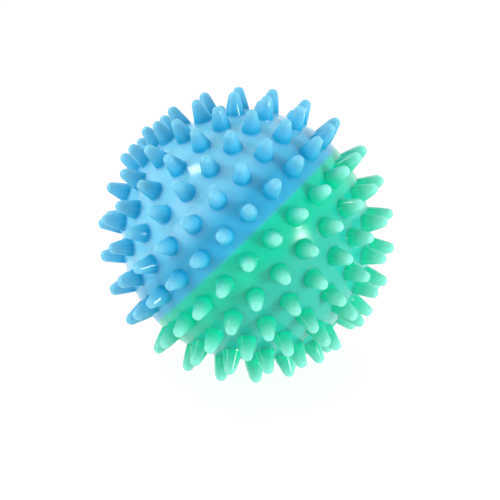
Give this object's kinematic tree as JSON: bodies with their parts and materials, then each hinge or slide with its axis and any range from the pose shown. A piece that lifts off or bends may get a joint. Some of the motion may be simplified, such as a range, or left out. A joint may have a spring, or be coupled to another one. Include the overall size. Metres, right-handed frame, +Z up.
{
  "type": "dryer ball",
  "caption": "Hollow spiked ball in soft translucent vinyl, blue half and green half bonded at the equator, with a plugged vent; tumbles among laundry to keep it apart.",
  "frame": {"origin": "centre of the ball", "axes": "+Z up, away from the plane of the three green spike tips that the ball lies on; the axis through the two poles lies in the XZ plane, with the blue pole leaning 49.6 degrees from +Z towards +X and the green pole, with its vent plug, opposite it"},
  "size_m": [0.0697, 0.0694, 0.0693],
  "materials": {
    "blue_vinyl": "glossy, slightly translucent soft vinyl",
    "green_vinyl": "glossy, slightly translucent soft vinyl",
    "plug_vinyl": "satin soft vinyl"
  },
  "bodies": {
    "root": {"blue_half_shell": "blue_vinyl", "green_half_shell": "green_vinyl", "vent_plug": "plug_vinyl"}
  },
  "joints": []
}
